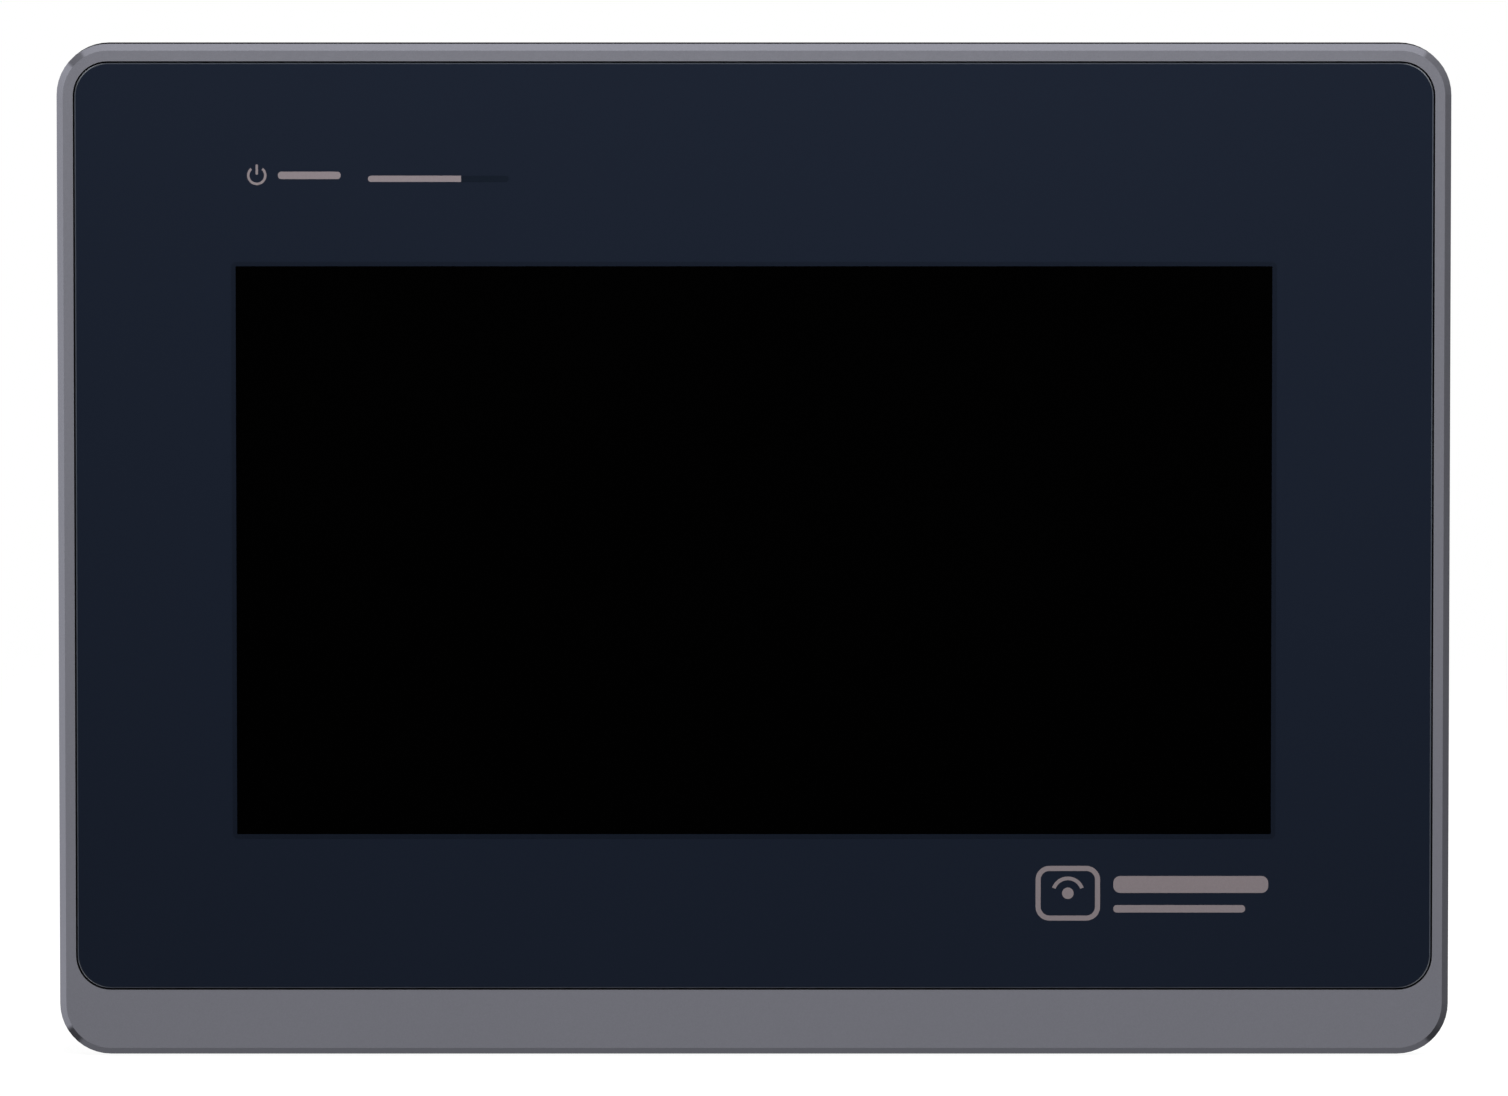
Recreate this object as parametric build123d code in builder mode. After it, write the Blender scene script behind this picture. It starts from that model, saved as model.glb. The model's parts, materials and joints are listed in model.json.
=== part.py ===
from build123d import *

import math
import os

# A 7-inch wide operator touch panel for a cabinet door, as an assembly of separate pieces.
#
# Frame: +X to the right and +Z up as the operator sees it, and the screen faces -Y. The origin is
# the centre of the cabinet cut-out, on the plane where the bezel seats against the panel. So all
# depths are Y values: negative in front of the panel, positive inside the cabinet. Millimetres.

# ---------------------------------------------------------------- bezel and screen, from the front
BEZEL = (204.5, 148.9)
BEZEL_CORNER = 7.5
BEZEL_CHAMFER = 0.95
FRONT = -6.0
SIDE_RIM = 2.4  # bezel left visible beside the screen
TOP_RIM = 2.5
CHIN = 9.55  # bezel left visible under the screen
RECESS = (BEZEL[0] - 2 * SIDE_RIM, BEZEL[1] - TOP_RIM - CHIN)
RECESS_CENTRE = (0, (CHIN - TOP_RIM) / 2)
RECESS_CORNER = BEZEL_CORNER - SIDE_RIM
SCREEN_GAP = 0.25  # open joint round the screen
SHEET_FRONT = FRONT + 0.1
FILM_FRONT = SHEET_FRONT + 0.5
GLASS_FRONT = FILM_FRONT + 0.2
GLASS_BACK = GLASS_FRONT + 1.8
LEDGE = GLASS_BACK + 0.4  # the screen is taped to this ledge of the bezel
SHEET_EDGE = 0.2
STATUS_LIGHT = (-39.3, 54.7)
STATUS_SLOT = (7.4, 2.4)
SKIRT = (183.4, 128.4)  # upright wall behind the bezel that centres the rear housing
SKIRT_WALL = 1.5
SKIRT_BACK = 2.8
BOSS_RADIUS = 3.3
BOSS_PILOT = 1.5
EAR_BOSS_RADIUS = 2.4
EAR_PILOT = 1.3

# ---------------------------------------------------------------- panel seat and gasket
CUT_OUT = (190.0, 135.0)
HOUSING_SEAT = -0.5
GASKET_OUTER = (196.5, 141.5)
GASKET_INNER = (191.5, 136.5)
GASKET_CORNER = 5.0
GROOVE_FLOOR = -1.8
GASKET_SHOULDER = -0.6
GASKET_BEAD = 0.6  # radius of the sealing bead, whose crest touches the seat plane
PLAY = 0.1  # clearance per side of parts that drop into a pocket
DOOR_PLAY = 0.7  # clearance per side of the rear housing in the cut-out

# ---------------------------------------------------------------- display module
LCD = (165.0, 100.0)
LCD_OPENING = (169.0, 103.0)
LCD_CELL = (162.5, 96.0)
LCD_WINDOW = (155.5, 87.5)
FOAM_WINDOW = (157.0, 89.0)
TRAY_POCKET = (150.0, 26.0)
TRAY_POCKETS = [(0, -32), (0, 32)]
LCD_FRONT = GLASS_BACK + 0.8
LCD_FRAME_SHEET = 0.4
CELL_BACK = LCD_FRONT + LCD_FRAME_SHEET + 1.3
TRAY_BACK = CELL_BACK + 4.0
BRACKET_FRONT = TRAY_BACK + 0.2
BRACKET_BACK = BRACKET_FRONT + 1.0
BRACKET = (166.0, 103.0)
BRACKET_EARS = [(x, z) for x in (-87.2, 87.2) for z in (-34, 34)]
BRACKET_EAR = (12.0, 10.0)
BRACKET_EAR_REACH = 83.5  # centre of an ear's plate, which overlaps the bracket's side
BRACKET_LIP = 1.0
BRACKET_LIP_HEIGHT = 4.0
CABLE_WINDOW = (36.0, 26.0)

# ---------------------------------------------------------------- rear housing
HOUSING_WALL = 2.2
BASE = (CUT_OUT[0] - 2 * DOOR_PLAY, CUT_OUT[1] - 2 * DOOR_PLAY)
BASE_CORNER = 3.0
STEP = 13.0  # the wide base ends here and the narrower rear section begins
REAR = (180.0, 114.2)
REAR_CENTRE = (0, 3.1)
REAR_CORNER = 4.0
BACK = 36.0
REAR_BOTTOM = REAR_CENTRE[1] - REAR[1] / 2
REAR_TOP = REAR_CENTRE[1] + REAR[1] / 2
SIDE_SCREWS = [(x, z) for x in (-88.5, 88.5) for z in (-48, 48)]
MIDDLE_SCREWS = [(0, -60.5), (0, 60.5)]
HOUSING_SCREWS = SIDE_SCREWS + MIDDLE_SCREWS
WELL_RADIUS = 4.5
WELL_WALL = 1.8
WELL_FLOOR = 9.0
WELL_FRONT = 6.0

# ---------------------------------------------------------------- main board
BOARD_X = (-81.5, 81.5)
BOARD_Z = (-51.0, 50.0)
BOARD_FRONT = 12.4
BOARD_BACK = 14.0
STANDOFFS = [(-77, 45), (77, 45), (-77, -40), (77, -40), (0, 45)]
PROCESSOR = (10, 12)
RIBBON_X = 46.0
RIBBON_WIDTH = 26.0
RIBBON_LEVEL = 14.95  # middle of a cable lying over the board
LATCH_AXIS = (15.85, 18.6)  # depth and height of the ribbon latch's hinge
TAIL_Z = 10.0

# ---------------------------------------------------------------- connectors along the bottom edge
MOUTH = REAR_BOTTOM - 0.3  # connector mouths stand just proud of the housing
POWER_X = -62.0
POLE_PITCH = 5.08
POLES = [POWER_X + i * POLE_PITCH for i in (-1, 0, 1)]
PIN_DEPTH = 18.5
USB_MINI_X = -43.0
USB_A_X = -27.0
JACKS = [-7.5, 11.0, 29.5]
JACK = (16.2, 13.4, 21.5)
SERIAL_X = 56.0
SERIAL_DEPTH = 21.0
JACKSCREW_SPAN = 24.99

# ---------------------------------------------------------------- cabinet clamps
CLAMP_X = 80.0
CLAMP_AXIS = 70.0  # height of the clamp screw above the panel's centre
SLOT_Y = (4.4, 9.4)
SLOT_HALF = 6.1
HOOK_BACK = 10.9
HOOK_DEPTH = 1.8
FOOT_FRONT = 7.2
FOOT_RADIUS = 2.6
CLAMP_NUT = (12.0, 24.0)


def at_depth(y):
    """Sketch plane at depth y: sketch X runs along +X and sketch Y along +Z."""
    return Plane.XZ.offset(-y)


def plate(size, radius, front, back, *spots, mode=Mode.ADD):
    """Rounded rectangular plates between two depths, centred on each spot."""
    with BuildSketch(at_depth(back)) as outline:
        with Locations(*(spots or [(0, 0)])):
            RectangleRounded(*size, radius)
    extrude(outline.sketch, amount=back - front, mode=mode)


def rod(radius, front, back, *spots, mode=Mode.ADD):
    """Round bars along Y between two depths, or holes with Mode.SUBTRACT."""
    with BuildSketch(at_depth(back)) as outline:
        with Locations(*(spots or [(0, 0)])):
            Circle(radius)
    extrude(outline.sketch, amount=back - front, mode=mode)


def block(x, y, z, mode=Mode.ADD):
    """Box given by its low and high limit along each axis."""
    with Locations((sum(x) / 2, sum(y) / 2, sum(z) / 2)):
        Box(x[1] - x[0], y[1] - y[0], z[1] - z[0], mode=mode)


def around(middle, half):
    """Low and high limit of a span, from its middle and half its width."""
    return (middle - half, middle + half)


def grown(size, by):
    """Outline size with the same amount added on every side."""
    return tuple(side + 2 * by for side in size)


def ribbon(plane, points, radius, width, thickness):
    """Flat cable: its centre line drawn in a plane, its width along the plane's normal."""
    with BuildSketch(plane) as section:
        with BuildLine():
            path = FilletPolyline(*points, radius=radius)
        trace(path, line_width=thickness)
    extrude(section.sketch, amount=width)


def pan_screw(head_radius, head_height, shank_radius, shank_length):
    """Cross-recessed pan-head screw: head behind the origin, shank running forwards."""
    recess_arm = 0.68 * head_radius
    recess_half = 0.14 * head_radius
    recess = (0.4 * head_height, head_height)
    with BuildPart() as screw:
        rod(head_radius, 0, head_height)
        fillet(screw.faces().sort_by(Axis.Y)[-1].edges(), 0.45 * head_height)
        block(around(0, recess_arm), recess, around(0, recess_half), mode=Mode.SUBTRACT)
        block(around(0, recess_half), recess, around(0, recess_arm), mode=Mode.SUBTRACT)
        rod(shank_radius, -shank_length, 0)
        chamfer(screw.faces().sort_by(Axis.Y)[0].edges(), 0.3 * shank_radius)
    return screw.part


def save(piece, name):
    """Label a finished piece and write it to parts/NAME.step."""
    piece.label = name
    export_step(piece, f"parts/{name}.step")


os.makedirs("parts", exist_ok=True)

# ================================================================ front: bezel and touch screen

with BuildPart() as front_bezel:
    plate(BEZEL, BEZEL_CORNER, FRONT, 0)
    chamfer(front_bezel.faces().sort_by(Axis.Y)[0].edges(), BEZEL_CHAMFER)
    plate(RECESS, RECESS_CORNER, FRONT, LEDGE, RECESS_CENTRE, mode=Mode.SUBTRACT)
    plate(LCD_OPENING, 2, LEDGE, 0, mode=Mode.SUBTRACT)
    plate(GASKET_INNER, GASKET_CORNER - 2.5, HOUSING_SEAT, 0, mode=Mode.SUBTRACT)
    # gasket groove: a ring cut deeper than the housing seat inside it
    with BuildSketch(at_depth(0)) as groove:
        RectangleRounded(*GASKET_OUTER, GASKET_CORNER)
        RectangleRounded(*GASKET_INNER, GASKET_CORNER - 2.5, mode=Mode.SUBTRACT)
    extrude(groove.sketch, amount=-GROOVE_FLOOR, mode=Mode.SUBTRACT)
    # skirt that centres the rear housing
    with BuildSketch(at_depth(SKIRT_BACK)) as skirt:
        RectangleRounded(*SKIRT, 2.5)
        RectangleRounded(*grown(SKIRT, -SKIRT_WALL), 1.0, mode=Mode.SUBTRACT)
    extrude(skirt.sketch, amount=SKIRT_BACK - HOUSING_SEAT)
    rod(BOSS_RADIUS, HOUSING_SEAT, WELL_FRONT - PLAY, *HOUSING_SCREWS)
    rod(BOSS_PILOT, 0.5, WELL_FRONT - PLAY, *HOUSING_SCREWS, mode=Mode.SUBTRACT)
    rod(EAR_BOSS_RADIUS, HOUSING_SEAT, BRACKET_FRONT, *BRACKET_EARS)
    rod(EAR_PILOT, -1.5, BRACKET_FRONT, *BRACKET_EARS, mode=Mode.SUBTRACT)
    plate(STATUS_SLOT, 1, LEDGE, HOUSING_SEAT, STATUS_LIGHT, mode=Mode.SUBTRACT)
save(front_bezel.part, "front_bezel")

SHEET = grown(RECESS, -SCREEN_GAP)
SHEET_CORNER = RECESS_CORNER - SCREEN_GAP

with BuildPart() as overlay_sheet:
    plate(SHEET, SHEET_CORNER, SHEET_FRONT, FILM_FRONT, RECESS_CENTRE)
    chamfer(overlay_sheet.faces().sort_by(Axis.Y)[0].edges(), SHEET_EDGE)
save(overlay_sheet.part, "overlay_sheet")

with BuildPart() as touch_film:
    plate(grown(SHEET, -0.2), SHEET_CORNER - 0.2, FILM_FRONT, GLASS_FRONT, RECESS_CENTRE)
save(touch_film.part, "touch_film")

with BuildPart() as touch_glass:
    plate(grown(SHEET, -0.2), SHEET_CORNER - 0.2, GLASS_FRONT, GLASS_BACK, RECESS_CENTRE)
save(touch_glass.part, "touch_glass")

with BuildPart() as touch_adhesive:
    plate(grown(SHEET, -0.4), SHEET_CORNER - 0.4, GLASS_BACK, LEDGE, RECESS_CENTRE)
    plate(grown(LCD_OPENING, 1), 2, GLASS_BACK, LEDGE, mode=Mode.SUBTRACT)
    plate(STATUS_SLOT, 1, GLASS_BACK, LEDGE, STATUS_LIGHT, mode=Mode.SUBTRACT)
save(touch_adhesive.part, "touch_adhesive")

TAIL_THICKNESS = 0.2
TAIL_WIDTH = 8.0
tail_front = GLASS_BACK + TAIL_THICKNESS / 2 + 0.02
tail_path = [(-82.0, tail_front), (-83.65, tail_front), (-83.65, RIBBON_LEVEL), (-76.5, RIBBON_LEVEL)]

with BuildPart() as touch_tail:
    ribbon(Plane.XY.offset(TAIL_Z - TAIL_WIDTH / 2), tail_path, 0.6, TAIL_WIDTH, TAIL_THICKNESS)
save(touch_tail.part, "touch_tail")

GASKET_MIDDLE = grown(GASKET_INNER, (GASKET_OUTER[0] - GASKET_INNER[0]) / 4)
bead_path = (at_depth(GASKET_SHOULDER) * RectangleRounded(*GASKET_MIDDLE, GASKET_CORNER - 1.25)).wire()

with BuildPart() as installation_gasket:
    with BuildSketch(at_depth(GASKET_SHOULDER)) as gasket_ring:
        RectangleRounded(*grown(GASKET_OUTER, -PLAY), GASKET_CORNER - PLAY)
        RectangleRounded(*grown(GASKET_INNER, PLAY), GASKET_CORNER - 2.4, mode=Mode.SUBTRACT)
    extrude(gasket_ring.sketch, amount=GASKET_SHOULDER - GROOVE_FLOOR)
    with BuildSketch(Plane(bead_path @ 0, z_dir=bead_path % 0)) as bead:
        Circle(GASKET_BEAD)
    sweep(bead.sketch, path=bead_path)
save(installation_gasket.part, "installation_gasket")

# ================================================================ display module and its bracket

with BuildPart() as lcd_foam:
    plate(grown(LCD, -0.7), 1.5, GLASS_BACK, LCD_FRONT)
    plate(FOAM_WINDOW, 1, GLASS_BACK, LCD_FRONT, mode=Mode.SUBTRACT)
save(lcd_foam.part, "lcd_foam")

with BuildPart() as lcd_frame:
    plate(LCD, 1.2, LCD_FRONT, TRAY_BACK - 0.5)
    plate(grown(LCD, -LCD_FRAME_SHEET), 0.8, LCD_FRONT + LCD_FRAME_SHEET, TRAY_BACK, mode=Mode.SUBTRACT)
    plate(LCD_WINDOW, 0.5, LCD_FRONT, TRAY_BACK, mode=Mode.SUBTRACT)
save(lcd_frame.part, "lcd_frame")

with BuildPart() as lcd_glass:
    plate(LCD_CELL, 0.4, LCD_FRONT + LCD_FRAME_SHEET, CELL_BACK)
save(lcd_glass.part, "lcd_glass")

with BuildPart() as backlight_tray:
    plate(grown(LCD, -0.5), 0.7, CELL_BACK, TRAY_BACK)
    plate(TRAY_POCKET, 2, TRAY_BACK - 0.6, TRAY_BACK, *TRAY_POCKETS, mode=Mode.SUBTRACT)
save(backlight_tray.part, "backlight_tray")

ribbon_front = TRAY_BACK + 0.17
ribbon_path = [(ribbon_front, -8), (ribbon_front, 3), (RIBBON_LEVEL, 11), (RIBBON_LEVEL, 21.5)]

with BuildPart() as lcd_ribbon:
    ribbon(Plane.YZ.offset(RIBBON_X - RIBBON_WIDTH / 2), ribbon_path, 2.5, RIBBON_WIDTH, 0.3)
save(lcd_ribbon.part, "lcd_ribbon")

with BuildPart() as display_bracket:
    plate(BRACKET, 2, BRACKET_FRONT, BRACKET_BACK)
    ear_plates = [(math.copysign(BRACKET_EAR_REACH, x), z) for x, z in BRACKET_EARS]
    plate(BRACKET_EAR, 2, BRACKET_FRONT, BRACKET_BACK, *ear_plates)
    for side in (-1, 1):  # stiffening lips along the top and bottom
        lip = around(side * (BRACKET[1] - BRACKET_LIP) / 2, BRACKET_LIP / 2)
        block((-70, 70), (BRACKET_BACK, BRACKET_BACK + BRACKET_LIP_HEIGHT), lip)
    fillet(display_bracket.faces().sort_by(Axis.Y)[-1].edges().filter_by(Axis.X), 0.3)
    rod(1.5, BRACKET_FRONT, BRACKET_BACK, *BRACKET_EARS, mode=Mode.SUBTRACT)
    windows = [(x, 1) for x in (-RIBBON_X, 0, RIBBON_X)]
    plate(CABLE_WINDOW, 3, BRACKET_FRONT, BRACKET_BACK, *windows, mode=Mode.SUBTRACT)
save(display_bracket.part, "display_bracket")

with BuildPart() as board_standoffs:
    with BuildSketch(at_depth(BOARD_FRONT)) as standoff_outline:
        with Locations(*STANDOFFS):
            RegularPolygon(3.0, 6)
            Circle(1.3, mode=Mode.SUBTRACT)
    extrude(standoff_outline.sketch, amount=BOARD_FRONT - BRACKET_BACK)
save(board_standoffs.part, "board_standoffs")

with BuildPart() as chassis_screws:
    with Locations(*[(x, BRACKET_BACK, z) for x, z in BRACKET_EARS]):
        add(pan_screw(2.3, 1.7, 1.25, 5.0))
    with Locations(*[(x, BOARD_BACK, z) for x, z in STANDOFFS]):
        add(pan_screw(2.3, 1.7, 1.25, 5.0))
save(chassis_screws.part, "chassis_screws")

# ================================================================ status light

LIGHT_HALF = 3.3
PIPE_BACK = 10.8

with BuildPart() as status_light_pipe:
    x, z = STATUS_LIGHT
    block(around(x, LIGHT_HALF), (GLASS_BACK + 0.05, PIPE_BACK), around(z, 0.8))
    block(around(x, 4.7), (HOUSING_SEAT, HOUSING_SEAT + 0.8), around(z, 1.8))
    fillet(status_light_pipe.edges().filter_by(Axis.Y), 0.3)
save(status_light_pipe.part, "status_light_pipe")

with BuildPart() as status_led:
    block(around(x, 1.75), (PIPE_BACK + 0.2, BOARD_FRONT), around(z, 1.4))
    chamfer(status_led.faces().sort_by(Axis.Y)[0].edges(), 0.3)
save(status_led.part, "status_led")

# ================================================================ main board and its components

with BuildPart() as main_board:
    with BuildSketch(at_depth(BOARD_BACK)) as board_outline:
        with Locations((0, sum(BOARD_Z) / 2)):
            RectangleRounded(BOARD_X[1] - BOARD_X[0], BOARD_Z[1] - BOARD_Z[0], 1.5)
        with Locations((STATUS_LIGHT[0], 53)):
            Rectangle(18, 9)
        with Locations(*STANDOFFS):
            Circle(1.4, mode=Mode.SUBTRACT)
        with Locations((RIBBON_X, 10)):
            RectangleRounded(30, 5, 1, mode=Mode.SUBTRACT)
    extrude(board_outline.sketch, amount=BOARD_BACK - BOARD_FRONT)
save(main_board.part, "main_board")

PROCESSOR_BACK = BOARD_BACK + 1.4
PAD_BACK = PROCESSOR_BACK + 0.5

with BuildPart() as thermal_pad:
    plate((18, 18), 0.5, PROCESSOR_BACK, PAD_BACK, PROCESSOR)
save(thermal_pad.part, "thermal_pad")

FINS = 9
FIN_PITCH = 4.2

with BuildPart() as heat_sink:
    plate((36, 36), 0.6, PAD_BACK, PAD_BACK + 2.2, PROCESSOR)
    for i in range(FINS):
        fin = PROCESSOR[0] + (i - (FINS - 1) / 2) * FIN_PITCH
        block(around(fin, 0.6), (PAD_BACK + 2.2, PAD_BACK + 10), around(PROCESSOR[1], 18))
save(heat_sink.part, "heat_sink")

CHIPS = {  # outline size to the places where a package of that size sits
    (9.0, 13.0): [(-20, 20), (-20, 4)],
    (11.5, 13.0): [(46, 37)],
    (7.0, 7.0): [(-7.5, -22), (11, -22), (-36, 8)],
    (10.0, 6.5): [(29.5, -22), (56, -22), (-69, 22)],
}

with BuildPart() as chips:
    plate((19, 19), 0.4, BOARD_BACK, PROCESSOR_BACK, PROCESSOR)
    for size, spots in CHIPS.items():
        plate(size, 0.3, BOARD_BACK, BOARD_BACK + 1.1, *spots)
save(chips.part, "chips")

with BuildPart() as power_components:
    plate((12.0, 12.0), 2.5, BOARD_BACK, BOARD_BACK + 6, (-62, 8), (-48, 8))  # shielded inductors
    rod(4.0, BOARD_BACK, BOARD_BACK + 10, (-70, -14), (-60, -14), (-50, -14))  # capacitors
    fillet(power_components.faces().group_by(Axis.Y)[-1].edges(), 0.5)
save(power_components.part, "power_components")

BUZZER = (62, 40)

with BuildPart() as buzzer:
    rod(6.0, BOARD_BACK, BOARD_BACK + 6.5, BUZZER)
    fillet(buzzer.faces().sort_by(Axis.Y)[-1].edges(), 0.6)
    rod(1.0, BOARD_BACK + 3, BOARD_BACK + 6.5, BUZZER, mode=Mode.SUBTRACT)
save(buzzer.part, "buzzer")

CELL = (-50, 34)

with BuildPart() as backup_cell:
    rod(10.0, BOARD_BACK + 0.5, BOARD_BACK + 3.7, CELL)
    fillet(backup_cell.faces().sort_by(Axis.Y)[-1].edges(), 0.4)
    for side in (-1, 1):  # solder tabs
        x = CELL[0] + side * 10.5
        block(around(x, 2.5), (BOARD_BACK, BOARD_BACK + 0.5), around(CELL[1], 1.5))
save(backup_cell.part, "backup_cell")

with BuildPart() as ribbon_connectors:
    low, high = LATCH_AXIS[1] + 0.6, LATCH_AXIS[1] + 4.8
    block(around(RIBBON_X, 16), (BOARD_BACK, BOARD_BACK + 2.4), (low, high))
    block(around(RIBBON_X, 14), (BOARD_BACK + 0.7, BOARD_BACK + 1.2), (low, high - 0.8), mode=Mode.SUBTRACT)
    for side in (-1, 1):  # ears that carry the latch
        ear = around(RIBBON_X + side * 15.3, 0.7)
        block(ear, (BOARD_BACK, BOARD_BACK + 2.4), (LATCH_AXIS[1] - 0.8, low))
    block((-78.9, -74.3), (BOARD_BACK, BOARD_BACK + 2.4), around(TAIL_Z, 6))
    block((-78.9, -76.3), (BOARD_BACK + 0.7, BOARD_BACK + 1.2), around(TAIL_Z, 4.3), mode=Mode.SUBTRACT)
save(ribbon_connectors.part, "ribbon_connectors")

with BuildPart() as ribbon_latch:
    depth, height = LATCH_AXIS
    with BuildSketch(Plane.YZ.offset(RIBBON_X - 14.5)) as latch_profile:
        with Locations((depth, height)):
            Circle(0.5)
        with Locations((depth, height - 1.1)):
            RectangleRounded(0.9, 2.2, 0.2)
    extrude(latch_profile.sketch, amount=29)
save(ribbon_latch.part, "ribbon_latch")

# ================================================================ connectors

with BuildPart() as rj45_contacts:
    for jack in JACKS:
        for i in range(8):
            x = jack + (i - 3.5) * 1.02
            with BuildSketch(Plane.YZ.offset(x - 0.22)) as contact:
                with BuildLine():
                    wire = FilletPolyline((14.6, -34), (16.2, -34), (16.2, -51), (19.6, -44.5), radius=0.4)
                trace(wire, line_width=0.4)
            extrude(contact.sketch, amount=0.44)
save(rj45_contacts.part, "rj45_contacts")

JACK_Y = (BOARD_BACK, BOARD_BACK + JACK[1])
JACK_Z = (MOUTH, MOUTH + JACK[2])

with BuildPart() as rj45_inserts:
    for jack in JACKS:
        sides = around(jack, JACK[0] / 2 - 0.5)
        block(sides, (JACK_Y[0] + 0.5, JACK_Y[1] - 0.5), (MOUTH + 0.4, JACK_Z[1] - 0.5))
        block(around(jack, 5.95), (15.7, 24.0), (MOUTH, MOUTH + 13.5), mode=Mode.SUBTRACT)
        block(around(jack, 3.2), (24.0, 25.6), (MOUTH, MOUTH + 13.5), mode=Mode.SUBTRACT)
        block(around(jack, 1.7), (25.6, 26.4), (MOUTH, MOUTH + 13.5), mode=Mode.SUBTRACT)
        block(around(jack, 4.6), (14.0, 17.0), (-34.3, JACK_Z[1] - 0.5), mode=Mode.SUBTRACT)
    add(rj45_contacts.part, mode=Mode.SUBTRACT)
save(rj45_inserts.part, "rj45_inserts")

with BuildPart() as rj45_shells:
    for jack in JACKS:
        block(around(jack, JACK[0] / 2), JACK_Y, JACK_Z)
    fillet(rj45_shells.edges().filter_by(Axis.Z), 0.4)
    for jack in JACKS:
        block(
            around(jack, JACK[0] / 2 - 0.4),
            (JACK_Y[0] + 0.4, JACK_Y[1] - 0.4),
            (MOUTH, JACK_Z[1] - 0.4),
            mode=Mode.SUBTRACT,
        )
        block(around(jack, 4.7), (JACK_Y[0], JACK_Y[0] + 1), (-40, JACK_Z[1] - 0.4), mode=Mode.SUBTRACT)
save(rj45_shells.part, "rj45_shells")


def serial_outline(grow):
    """D-shaped outline of the serial plug, grown on all sides."""
    half_wide, half_narrow, half_height = 8.35, 6.95, 4.1
    with BuildSketch() as outline:
        with BuildLine():
            Polyline(
                (-half_narrow, -half_height),
                (half_narrow, -half_height),
                (half_wide, half_height),
                (-half_wide, half_height),
                close=True,
            )
        make_face()
        fillet(outline.vertices(), 1.6)
        if grow:
            offset(amount=grow)
    return outline.sketch


def serial_body(grow, low, high, mode=Mode.ADD):
    """D-shaped bar standing on the housing's bottom face, between two heights."""
    face = Plane((SERIAL_X, SERIAL_DEPTH, low), x_dir=(1, 0, 0), z_dir=(0, 0, 1)) * serial_outline(grow)
    extrude(face, amount=high - low, dir=(0, 0, 1), mode=mode)


SERIAL_PINS = [(i * 2.77 - 5.54, 1.42) for i in range(5)] + [(i * 2.77 - 4.155, -1.42) for i in range(4)]
FLANGE_LOW = REAR_BOTTOM - 0.8
JACKSCREWS = [SERIAL_X + side * JACKSCREW_SPAN / 2 for side in (-1, 1)]

with BuildPart() as dsub_pins:
    for dx, dy in SERIAL_PINS:
        with Locations((SERIAL_X + dx, SERIAL_DEPTH + dy, (REAR_BOTTOM - 5.4 - 47) / 2)):
            Cylinder(0.5, -47 - (REAR_BOTTOM - 5.4))
    fillet(dsub_pins.faces().group_by(Axis.Z)[0].edges(), 0.35)
save(dsub_pins.part, "dsub_pins")

with BuildPart() as dsub_insulator:
    serial_body(-0.55, FLANGE_LOW + 0.1, -46)
    block(around(SERIAL_X, 9.5), (BOARD_BACK, 26.5), (REAR_BOTTOM + 3.4, -40))
    add(dsub_pins.part, mode=Mode.SUBTRACT)
save(dsub_insulator.part, "dsub_insulator")

with BuildPart() as dsub_shell:
    with BuildSketch(Plane.XY.offset(FLANGE_LOW)) as flange_outline:
        with Locations((SERIAL_X, SERIAL_DEPTH)):
            RectangleRounded(30.8, 12.5, 2)
    extrude(flange_outline.sketch, amount=0.8)
    serial_body(0, REAR_BOTTOM - 5.9, FLANGE_LOW)
    serial_body(-0.45, REAR_BOTTOM - 5.9, REAR_BOTTOM, mode=Mode.SUBTRACT)
    for x in JACKSCREWS:
        with Locations((x, SERIAL_DEPTH, REAR_BOTTOM)):
            Cylinder(1.6, 4, mode=Mode.SUBTRACT)
save(dsub_shell.part, "dsub_shell")

with BuildPart() as dsub_jackscrews:
    with BuildSketch(Plane.XY.offset(FLANGE_LOW - 4.8)) as hexes:
        with Locations(*[(x, SERIAL_DEPTH) for x in JACKSCREWS]):
            RegularPolygon(2.7, 6)
    extrude(hexes.sketch, amount=4.8)
    chamfer(dsub_jackscrews.faces().group_by(Axis.Z)[0].edges(), 0.3)
    for x in JACKSCREWS:
        with Locations((x, SERIAL_DEPTH, FLANGE_LOW + 2.5)):
            Cylinder(1.5, 5.0)
        with Locations((x, SERIAL_DEPTH, FLANGE_LOW - 2.4)):
            Cylinder(1.3, 4.8, mode=Mode.SUBTRACT)
save(dsub_jackscrews.part, "dsub_jackscrews")

USB_A_Y = (14.6, 20.4)
USB_MINI_Y = (14.3, 18.2)
USB_SHEET = 0.35

with BuildPart() as usb_shells:
    block(around(USB_A_X, 6.6), USB_A_Y, (MOUTH, MOUTH + 14))
    block(around(USB_MINI_X, 3.85), USB_MINI_Y, (MOUTH, MOUTH + 9.2))
    fillet(usb_shells.edges().filter_by(Axis.Z), 0.5)
    mouth_a = (USB_A_Y[0] + USB_SHEET, USB_A_Y[1] - USB_SHEET)
    mouth_mini = (USB_MINI_Y[0] + USB_SHEET, USB_MINI_Y[1] - USB_SHEET)
    block(around(USB_A_X, 6.25), mouth_a, (MOUTH, MOUTH + 13.6), mode=Mode.SUBTRACT)
    block(around(USB_MINI_X, 3.5), mouth_mini, (MOUTH, MOUTH + 8.8), mode=Mode.SUBTRACT)
save(usb_shells.part, "usb_shells")

with BuildPart() as usb_tongues:
    block(around(USB_A_X, 5.55), (17.6, 19.4), (MOUTH + 1, MOUTH + 10))
    block(around(USB_A_X, 6.2), (15.0, 20.0), (MOUTH + 10, MOUTH + 13.5))
    block(around(USB_MINI_X, 2.6), (15.9, 16.9), (MOUTH + 1, MOUTH + 6))
    block(around(USB_MINI_X, 3.4), (14.7, 17.8), (MOUTH + 6, MOUTH + 8.7))
save(usb_tongues.part, "usb_tongues")

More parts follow.
